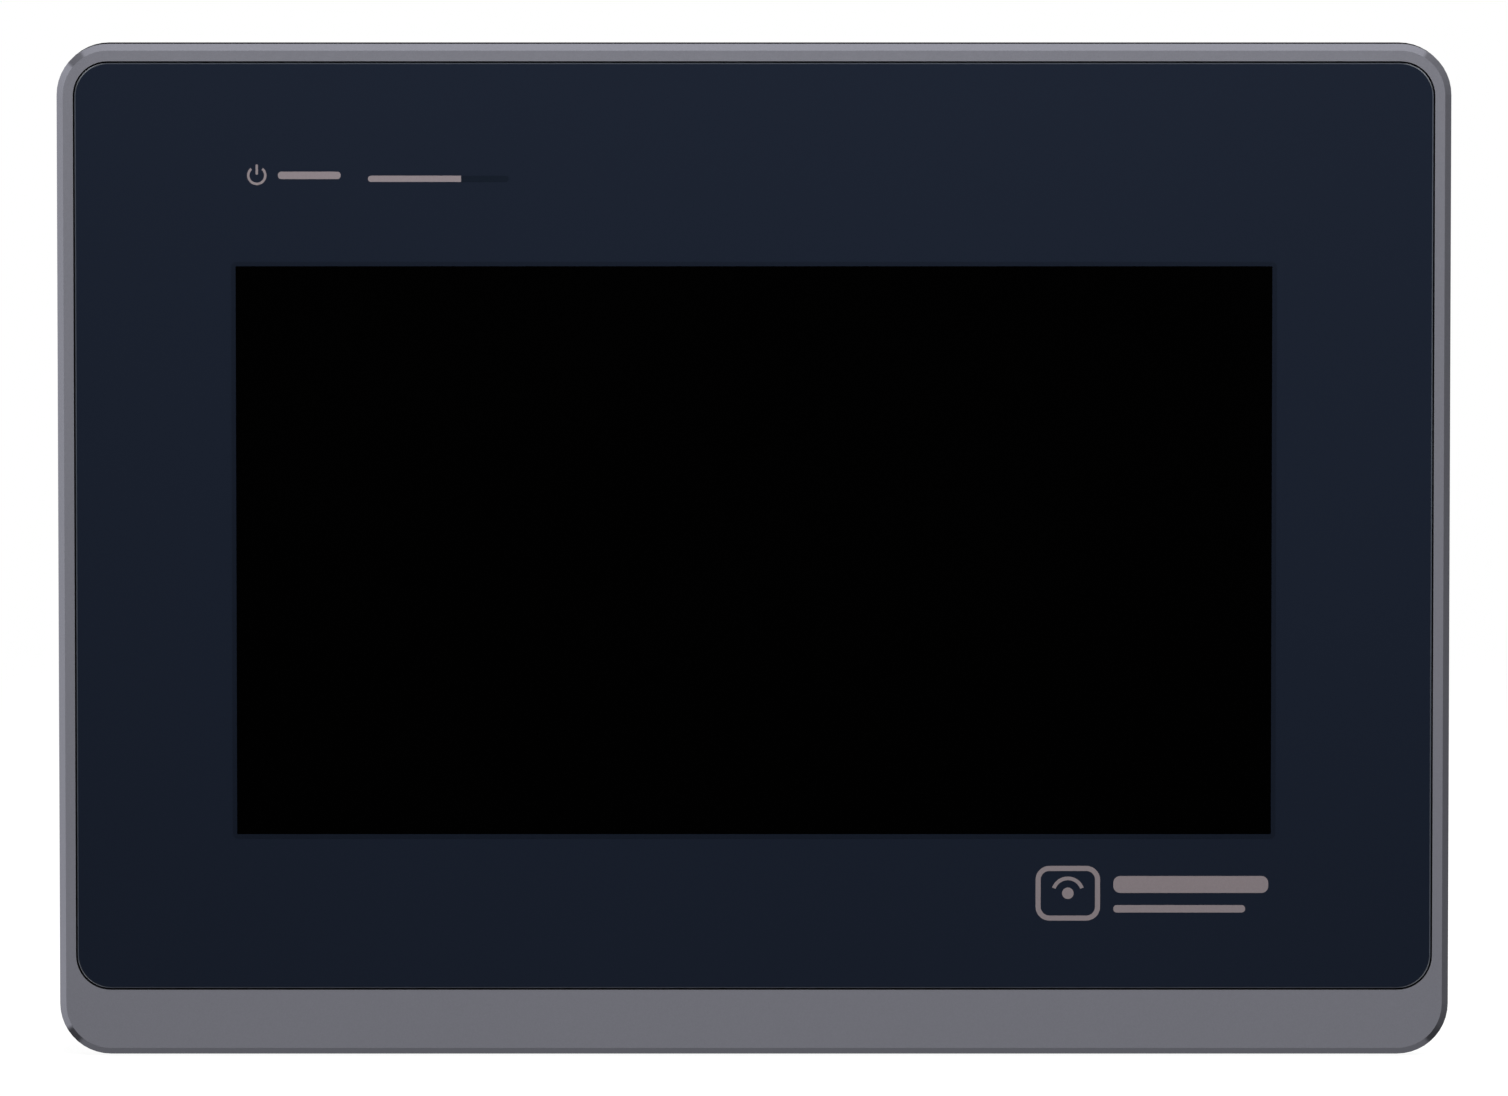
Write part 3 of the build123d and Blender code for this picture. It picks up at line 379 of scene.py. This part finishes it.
MATERIALS = {  # material slot named in the record, or used by an added piece, to its material
    "bezel_paint": bezel_paint(),
    "overlay": overlay_film(),
    "clear_film": print_ink("clear_film", (0.3, 0.31, 0.32)),
    "touch_glass": clear_glass(),
    "adhesive": rubber("adhesive_tape", (0.008, 0.008, 0.009)),
    "flex_circuit": flat_conductors("flex_circuit", (0.32, 0.13, 0.02), (0.5, 0.25, 0.06), 0.5),
    "gasket_rubber": rubber("gasket_rubber", (0.012, 0.012, 0.013)),
    "foam": rubber("foam", (0.01, 0.01, 0.011)),
    "thin_sheet": metal("thin_sheet", (0.52, 0.52, 0.50), 0.32, (0.05, 1, 1)),
    "display_cell": window_film(),
    "white_resin": moulded("white_resin", (0.7, 0.7, 0.68), 0.3, 0.01, 0.45, 1.05),
    "light_pipe": moulded("light_pipe", (0.5, 0.52, 0.52), 0.4, 0.005, 0.2, 1.1),
    "plated_screw": metal("plated_screw", (0.55, 0.545, 0.52), 0.28, (1, 0.3, 1)),
    "standoff_brass": metal("standoff_brass", (0.60, 0.42, 0.15), 0.3, (1, 0.2, 1)),
    "circuit_board": circuit_board(),
    "chip_epoxy": moulded("chip_epoxy", (0.014, 0.014, 0.015), 0.15, 0.01, 0.5),
    "thermal_pad": rubber("thermal_pad", (0.2, 0.22, 0.25)),
    "heat_sink": metal("heat_sink", (0.045, 0.045, 0.05), 0.4, (1, 1, 0.1)),
    "power_parts": moulded("power_parts", (0.04, 0.04, 0.045), 0.4, 0.02, 0.5),
    "buzzer_resin": moulded("buzzer_resin", (0.016, 0.016, 0.017)),
    "cell_steel": metal("cell_steel", (0.6, 0.6, 0.58), 0.25, (0.3, 1, 1)),
    "connector_resin": moulded("connector_resin", (0.014, 0.014, 0.015), 0.2, 0.008, 0.42),
    "latch_resin": moulded("latch_resin", (0.05, 0.03, 0.02), 0.2, 0.008, 0.4),
    "contact_gold": metal("contact_gold", (0.78, 0.52, 0.18), 0.2),
    "plated_shell": metal("plated_shell", (0.58, 0.575, 0.55), 0.26, (0.1, 1, 1)),
    "tinned_copper": metal("tinned_copper", (0.6, 0.59, 0.56), 0.33),
    "plug_resin": moulded("plug_resin", (0.012, 0.19, 0.055), 0.25, 0.008, 0.42, 1.25),
    "header_resin": moulded("header_resin", (0.011, 0.175, 0.05), 0.25, 0.008, 0.42, 1.25),
    "housing_resin": moulded("housing_resin", (0.043, 0.044, 0.049), 0.28, 0.03, 0.6),
    "rating_label": label_film(),
    "clamp_zinc": metal("clamp_zinc", (0.36, 0.36, 0.355), 0.42, (1, 1, 1), 0.35),
    "clamp_pad": moulded("clamp_pad", (0.014, 0.014, 0.014), 0.3, 0.02, 0.6),
    "print_grey": print_ink("print_grey", (0.220, 0.187, 0.198)),
    "print_border": print_ink("print_border", (0.0060, 0.0092, 0.0175), 0.05),
    "status_window": print_ink("status_window", (0.0062, 0.0098, 0.0175), 0.03),
    "label_ink": print_ink("label_ink", (0.02, 0.02, 0.022)),
    "light_green": print_ink("light_green", (0.05, 0.42, 0.10), 0.5),
    "light_amber": print_ink("light_amber", (0.65, 0.30, 0.03), 0.5),
}


def dress(piece, slot):
    """Gives a piece its material."""
    piece.data.materials.clear()
    piece.data.materials.append(MATERIALS[slot])


for part in frame["record"]["subparts"]:
    dress(nodes[part["node"]], part["material_slot"])

# ------------------------------------------------------------------------------ mesh helpers


def mesh_object(name, mesh_data):
    """Turns a bmesh into an object of the scene."""
    mesh = bpy.data.meshes.new(name)
    mesh_data.to_mesh(mesh)
    mesh_data.free()
    made = bpy.data.objects.new(name, mesh)
    bpy.context.scene.collection.objects.link(made)
    return made


def new_piece(name, mesh_data, slot, body="panel"):
    """Turns a bmesh into a dressed piece that rides on a body."""
    bmesh.ops.recalc_face_normals(mesh_data, faces=mesh_data.faces[:])
    piece = mesh_object(name, mesh_data)
    dress(piece, slot)
    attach(piece, body)
    return piece


def rounded(centre, size, radius, steps=10):
    """Corner points of a rounded rectangle, counter-clockwise."""
    points = []
    for quarter, (sx, sz) in enumerate(((1, 1), (-1, 1), (-1, -1), (1, -1))):
        cx = centre[0] + sx * (size[0] / 2 - radius)
        cz = centre[1] + sz * (size[1] / 2 - radius)
        for i in range(steps + 1):
            angle = (quarter + i / steps) * math.pi / 2
            points.append((cx + radius * math.cos(angle), cz + radius * math.sin(angle)))
    return points


def arc(centre, radius, start, end, steps=32):
    """Points along an arc, angles in degrees."""
    angles = [math.radians(start + (end - start) * i / steps) for i in range(steps + 1)]
    return [(centre[0] + radius * math.cos(a), centre[1] + radius * math.sin(a)) for a in angles]


def ring(centre, size, radius, width):
    """Closed band along a rounded rectangle, its inner edge given."""
    inner = rounded(centre, size, radius)
    outer = rounded(centre, (size[0] + 2 * width, size[1] + 2 * width), radius + width)
    return inner, outer, True


def arc_band(centre, radius, width, start, end):
    """Open band along an arc."""
    return arc(centre, radius - width / 2, start, end), arc(centre, radius + width / 2, start, end), False


def add_prism(bm, near, far):
    """Adds a solid between two outlines with the same number of points, in metres."""
    near = [bm.verts.new(point) for point in near]
    far = [bm.verts.new(point) for point in far]
    bm.faces.new(near)
    bm.faces.new(reversed(far))
    for i in range(len(near)):
        j = (i + 1) % len(near)
        bm.faces.new((near[i], near[j], far[j], far[i]))


def add_plate(bm, outline, front, back):
    """Adds a solid plate with the given outline between two depths in metres."""
    near, far = ([(x * MM, y, z * MM) for x, z in outline] for y in (front, back))
    add_prism(bm, near, far)


def add_ribbon(bm, inner, outer, front, back, closed):
    """Adds a solid band between two outlines with the same number of points."""
    rings = [[bm.verts.new((x * MM, y, z * MM)) for x, z in line]
             for line, y in ((inner, front), (outer, front), (outer, back), (inner, back))]
    count = len(inner)
    for i in range(count if closed else count - 1):
        j = (i + 1) % count
        for side in range(4):
            a, b = rings[side], rings[(side + 1) % 4]
            bm.faces.new((a[i], a[j], b[j], b[i]))
    if not closed:
        for i in (0, count - 1):
            bm.faces.new([line[i] for line in rings])


def printed(name, slot, plates=(), bands=(), face=SCREEN_FACE, away=-1):
    """Print on a face: filled outlines and bands, a hair thick, standing out towards away."""
    bm = bmesh.new()
    for outline in plates:
        add_plate(bm, outline, face + away * PRINT_THICKNESS, face)
    for inner, outer, closed in bands:
        add_ribbon(bm, inner, outer, face + away * PRINT_THICKNESS, face, closed)
    return new_piece(name, bm, slot, "panel")


# ------------------------------------------------------------------------------ screen print

WINDOW = (152.1, 83.7)
WINDOW_BORDER = 0.65
BAR_LEVEL = 54.7  # height of the light bar and of the status window at its end
BAR_HALF = 0.46
BAR_X = (-56.15, -42.95)
STATUS_X = (-42.9, -36.4)
POWER_MARK = (-72.9, 55.2)
POWER_BAR = (-65.2, 55.2)
TOUCH_MARK = (46.2, -50.6)


def window_print():
    """Black window over the display, in a slightly darker border."""
    printed("display_window", "display_cell", [rounded((0, 0), WINDOW, 0.15)])
    border = ring((0, 0), (WINDOW[0] + 0.02, WINDOW[1] + 0.02), 0.16, WINDOW_BORDER)
    printed("window_border", "print_border", bands=[border])


def status_print():
    """Light bar with a round left end, and a status window with a round right end."""
    low, high = BAR_LEVEL - BAR_HALF, BAR_LEVEL + BAR_HALF
    bar = arc((BAR_X[0], BAR_LEVEL), BAR_HALF, 90, 270) + [(BAR_X[1], low), (BAR_X[1], high)]
    window = [(STATUS_X[0], high), (STATUS_X[0], low)] + arc((STATUS_X[1], BAR_LEVEL), BAR_HALF, -90, 90)
    printed("status_bar", "print_grey", [bar])
    printed("status_window", "status_window", [window])


def power_mark():
    """Generic power symbol and a bar beside it."""
    stroke = rounded((POWER_MARK[0], POWER_MARK[1] + 0.85), (0.36, 1.5), 0.15)
    bar = rounded(POWER_BAR, (9.2, 1.1), 0.5)
    printed("power_mark", "print_grey", [stroke, bar], [arc_band(POWER_MARK, 1.25, 0.36, 130, 410)])


def touch_mark():
    """Generic touch symbol, a dot under an arc in a frame, and two bars beside it."""
    x, z = TOUCH_MARK
    dot = rounded(TOUCH_MARK, (1.7, 1.7), 0.84)
    bars = [rounded((x + 18.1, z + 1.3), (22.8, 2.5), 1.0), rounded((x + 16.4, z - 2.3), (19.4, 1.1), 0.5)]
    bands = [ring(TOUCH_MARK, (8.0, 6.6), 1.3, 0.75), arc_band(TOUCH_MARK, 2.2, 0.55, 20, 160)]
    printed("touch_mark", "print_grey", [dot, *bars], bands)


window_print()
status_print()
power_mark()
touch_mark()

# ------------------------------------------------------------------------------ rear details

JACKS = (-7.5, 11.0, 29.5)
PORTS = (-43.0, -27.0, *JACKS, 56.0)
MARK_HEIGHT = 5.0  # of a port mark's arrow above the network jacks' mouths
LIGHT_OFFSET = 5.9  # of a jack's link light from the jack's middle


def label_print():
    """Blank table on the rating label: a frame, three rows and two column lines."""
    low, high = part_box("rating_label")
    x, z = (low.x + high.x) / 2 / MM, (low.z + high.z) / 2 / MM
    rows = [rounded((x, z + dz), (80, 0.25), 0.1) for dz in (-9, -1, 7)]
    columns = [rounded((x + dx, z - 5), (0.25, 24), 0.1) for dx in (-12, 16)]
    frame_line = ring((x, z), (84, 38), 1.5, 0.35)
    printed("label_print", "label_ink", rows + columns, [frame_line], high.y, 1)


def port_marks():
    """Generic print over the ports: an arrow towards each, and dots that count the network jacks."""
    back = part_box("rear_housing")[1].y
    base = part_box("rj45_shells")[0].z / MM + MARK_HEIGHT
    arrows = [[(x, base), (x + 1.5, base + 2.2), (x - 1.5, base + 2.2)] for x in PORTS]
    dots = []
    for count, jack in enumerate(JACKS, 1):
        for i in range(count):
            spot = (jack + (i - (count - 1) / 2) * 1.8, base + 4.2)
            dots.append(rounded(spot, (1.0, 1.0), 0.49, 6))
    printed("port_marks", "print_grey", arrows + dots, (), back, 1)


def jack_lights():
    """Link and activity windows in the mouth of each network jack, either side of its notch."""
    jack_low, jack_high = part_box("rj45_inserts")
    low, high = jack_low.z - 0.15 * MM, jack_low.z + 0.02 * MM
    for side, slot in ((-1, "light_green"), (1, "light_amber")):
        bm = bmesh.new()
        for jack in JACKS:
            outline = rounded((jack + side * LIGHT_OFFSET, 0), (2.6, 1.5), 0.3, 4)
            lens = [(x * MM, jack_high.y - 1.1 * MM + y * MM) for x, y in outline]
            add_prism(bm, [(x, y, low) for x, y in lens], [(x, y, high) for x, y in lens])
        new_piece(f"jack_{slot}s", bm, slot, "panel")


label_print()
port_marks()
jack_lights()

# ------------------------------------------------------------------------------ clamp screws

PITCH = 0.7
PIVOT_RADIUS = 1.5
CORE_RADIUS = 1.66
CREST_RADIUS = 2.0
HEAD_RADIUS = 2.95
HEAD_LENGTH = 2.6
HEAD_FILLET = 0.7
RECESS_DEPTH = 1.4


def threaded_rows(start, end, steps=6):
    """Rows of (depth, radius, thread height) along a threaded shank, which runs out at its ends."""
    rows = []
    count = int(round((end - start) / PITCH * steps))
    for i in range(count + 1):
        depth = start + (end - start) * i / count
        run_out = min(1.0, (depth - start) / PITCH, (end - depth) / PITCH)
        rows.append((depth, CORE_RADIUS, (CREST_RADIUS - CORE_RADIUS) * max(0.0, run_out)))
    return rows


def screw_rows(front, rear):
    """Rows of a whole clamp screw: pivot tip, threaded shank and pan head."""
    head = rear - HEAD_LENGTH
    edge = rear - HEAD_FILLET
    tip = [(0, 0.2), (0, PIVOT_RADIUS - 0.25), (0.25, PIVOT_RADIUS)]
    tip += [(2.1, PIVOT_RADIUS), (2.15, CORE_RADIUS)]
    rows = [(front + along, radius, 0) for along, radius in tip]
    rows += threaded_rows(front + 2.2, head - 0.4)
    rows += [(head - 0.05, 1.75, 0), (head, HEAD_RADIUS - 0.25, 0), (head + 0.2, HEAD_RADIUS, 0)]
    rows += [(edge, HEAD_RADIUS, 0)]
    for angle in (0.4, 0.8, 1.2, 1.5):
        radius = HEAD_RADIUS - HEAD_FILLET + HEAD_FILLET * math.cos(angle)
        rows.append((edge + HEAD_FILLET * math.sin(angle), radius, 0))
    return rows + [(rear, 1.2, 0)]


def add_screw(bm, rows, segments=40):
    """Lathes the rows about Y, adding a helical thread where a row asks for one."""
    rings = []
    for depth, radius, height in rows:
        loop = []
        for i in range(segments):
            turn = (depth / PITCH + i / segments) % 1.0
            r = radius + height * (1 - abs(2 * turn - 1))
            angle = 2 * math.pi * i / segments
            loop.append(bm.verts.new((r * math.cos(angle) * MM, depth * MM, r * math.sin(angle) * MM)))
        rings.append(loop)
    for a, b in zip(rings, rings[1:]):
        for i in range(segments):
            j = (i + 1) % segments
            bm.faces.new((a[i], a[j], b[j], b[i]))
    bm.faces.new(rings[0])
    bm.faces.new(reversed(rings[-1]))


def cross_cutter(floor, top, arm=2.1, half=0.42):
    """Cutter for a cross recess in a screw head that faces +Y."""
    bm = bmesh.new()
    outline = [(half, half), (arm, half), (arm, -half), (half, -half), (half, -arm), (-half, -arm)]
    outline += [(-half, -half), (-arm, -half), (-arm, half), (-half, half), (-half, arm), (half, arm)]
    add_plate(bm, outline, floor * MM, top * MM)
    bmesh.ops.recalc_face_normals(bm, faces=bm.faces[:])
    return mesh_object("cutter", bm)


def cut_away(piece, cutter):
    """Cuts the cutter's shape out of a piece, then removes the cutter."""
    cut = piece.modifiers.new("recess", "BOOLEAN")
    cut.operation = "DIFFERENCE"
    cut.solver = "EXACT"
    cut.object = cutter
    graph = bpy.context.evaluated_depsgraph_get()
    cut_mesh = bpy.data.meshes.new_from_object(piece.evaluated_get(graph))
    piece.modifiers.clear()
    piece.data = cut_mesh
    bpy.data.objects.remove(cutter)


def clamp_screw(corner):
    """Threaded, cross-recessed clamp screw in place of the plain one."""
    name = f"clamp_screw_{corner}"
    low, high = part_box(name)
    front, rear = low.y / MM, high.y / MM
    bm = bmesh.new()
    add_screw(bm, screw_rows(front, rear))
    piece = new_piece(f"threaded_{name}", bm, "plated_screw", f"screw_{corner}")
    cut_away(piece, cross_cutter(rear - RECESS_DEPTH, rear + 0.5))
    piece.data.transform(Matrix.Translation(((low.x + high.x) / 2, 0, (low.z + high.z) / 2)))
    piece.data.shade_smooth()
    piece.data.set_sharp_from_angle(angle=math.radians(35))
    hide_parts(name)


for corner_name in ("top_left", "top_right", "bottom_left", "bottom_right"):
    clamp_screw(corner_name)

# ------------------------------------------------------------------------------ floor, lights, camera

FLOOR_RADIUS = 1.4
FLOOR_GAP = 0.3 * MM  # of the floor under the object
FLOOR_SHADOW = 0.14  # how much of the floor takes shadows; the rest glows white
FLOOR_FADE = (0.15, 0.7)  # distance from the middle where the floor begins and ends to fade out

STUDIO = {  # softbox to (direction, cosine where it begins, cosine where it is full, brightness)
    "up": ((0, 0, 1), 0.79, 0.85, 0.50),
    "left": ((-1, 0, 0), 0.79, 0.85, 0.68),
    "right": ((1, 0, 0), 0.79, 0.85, 0.05),
    "down": ((0, 0, -1), 0.76, 0.82, 0.28),
    "front": ((0, -1, 0), 0.45, 0.95, 0.26),
    "back": ((0, 1, 0), 0.35, 1.0, 0.36),
}
AMBIENT = 0.04

CAMERA_ELEVATION = math.radians(4.6)
CAMERA_DISTANCE = 2.05
CAMERA_LENS = 333.1
CAMERA_AIM = Vector((0, bezel_low.y, 0.40 * MM))


def floor_material():
    """White floor with a faint shadow, clear further out, from below and to all but the camera."""
    material = bpy.data.materials.new("floor")
    t = Tree(material)
    glow = t.shader("Emission", Strength=1.1)
    matt = t.shader("BsdfDiffuse", Color=(0.9, 0.9, 0.9))
    middle = t.vector("LENGTH", t.add("TexCoord").outputs["Object"])
    below = t.add("NewGeometry").outputs["Backfacing"]
    unseen = t.math("SUBTRACT", 1.0, t.add("LightPath").outputs["Is Camera Ray"])
    hidden = t.math("MAXIMUM", t.math("MAXIMUM", t.step(middle, *FLOOR_FADE), below), unseen)
    seen = t.blend(FLOOR_SHADOW, glow, matt)
    t.finish("OutputMaterial", t.blend(hidden, seen, t.shader("BsdfTransparent")))
    return material


def stage_floor():
    """Pale round floor just under the object."""
    bm = bmesh.new()
    bmesh.ops.create_circle(bm, cap_ends=True, segments=96, radius=FLOOR_RADIUS)
    bmesh.ops.translate(bm, verts=bm.verts[:], vec=(0, 0.015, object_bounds()[0].z - FLOOR_GAP))
    for face in bm.faces:
        if face.normal.z < 0:
            face.normal_flip()
    floor = mesh_object("floor", bm)
    floor.data.materials.append(floor_material())


def studio_world():
    """White to the camera; to everything else, soft boxes of light in each direction."""
    world = bpy.data.worlds.new("studio")
    bpy.context.scene.world = world
    t = Tree(world)
    direction = t.add("TexCoord").outputs["Generated"]
    strength = AMBIENT
    for way, start, full, power in STUDIO.values():
        box = t.step(t.vector("DOT_PRODUCT", direction, way), start, full, 0.0, power)
        strength = t.math("ADD", strength, box)
    lit = t.shader("Background", Color=(0.97, 0.98, 1.0), Strength=strength)
    white = t.shader("Background", Color=(1, 1, 1))
    seen = t.add("LightPath").outputs["Is Camera Ray"]
    t.finish("OutputWorld", t.blend(seen, lit, white))


def softbox(name, at, towards, size, power):
    """Square area light that the camera doesn't see."""
    data = bpy.data.lights.new(name, "AREA")
    data.shape = "SQUARE"
    data.size = size
    data.energy = power
    light = bpy.data.objects.new(name, data)
    light.location = at
    light.rotation_euler = (Vector(towards) - Vector(at)).to_track_quat("-Z", "Y").to_euler()
    light.visible_camera = False
    bpy.context.scene.collection.objects.link(light)


def front_camera():
    """Long lens, a little above the middle of the screen."""
    data = bpy.data.cameras.new("camera")
    data.sensor_width = 36
    data.lens = CAMERA_LENS
    data.clip_start = 0.05
    data.clip_end = 20
    camera = bpy.data.objects.new("camera", data)
    away = Vector((0, -math.cos(CAMERA_ELEVATION), math.sin(CAMERA_ELEVATION)))
    camera.location = CAMERA_AIM + away * CAMERA_DISTANCE
    camera.rotation_euler = (-away).to_track_quat("-Z", "Y").to_euler()
    bpy.context.scene.collection.objects.link(camera)
    bpy.context.scene.camera = camera


def plain_colours():
    """Shows colours as they are, without a film look."""
    view = bpy.context.scene.view_settings
    view.view_transform = "Standard"
    view.look = "None"
    view.exposure = 0.0


stage_floor()
studio_world()
softbox("key", (0.05, -0.36, 0.44), (0, 0, 0), 0.35, 4.4)
softbox("rear_left", (0.55, 0.8, 0.55), (0, 0.02, 0), 0.6, 9.0)
softbox("rear_right", (-0.7, 0.7, 0.1), (0, 0.02, 0), 0.6, 4.0)
front_camera()
plain_colours()
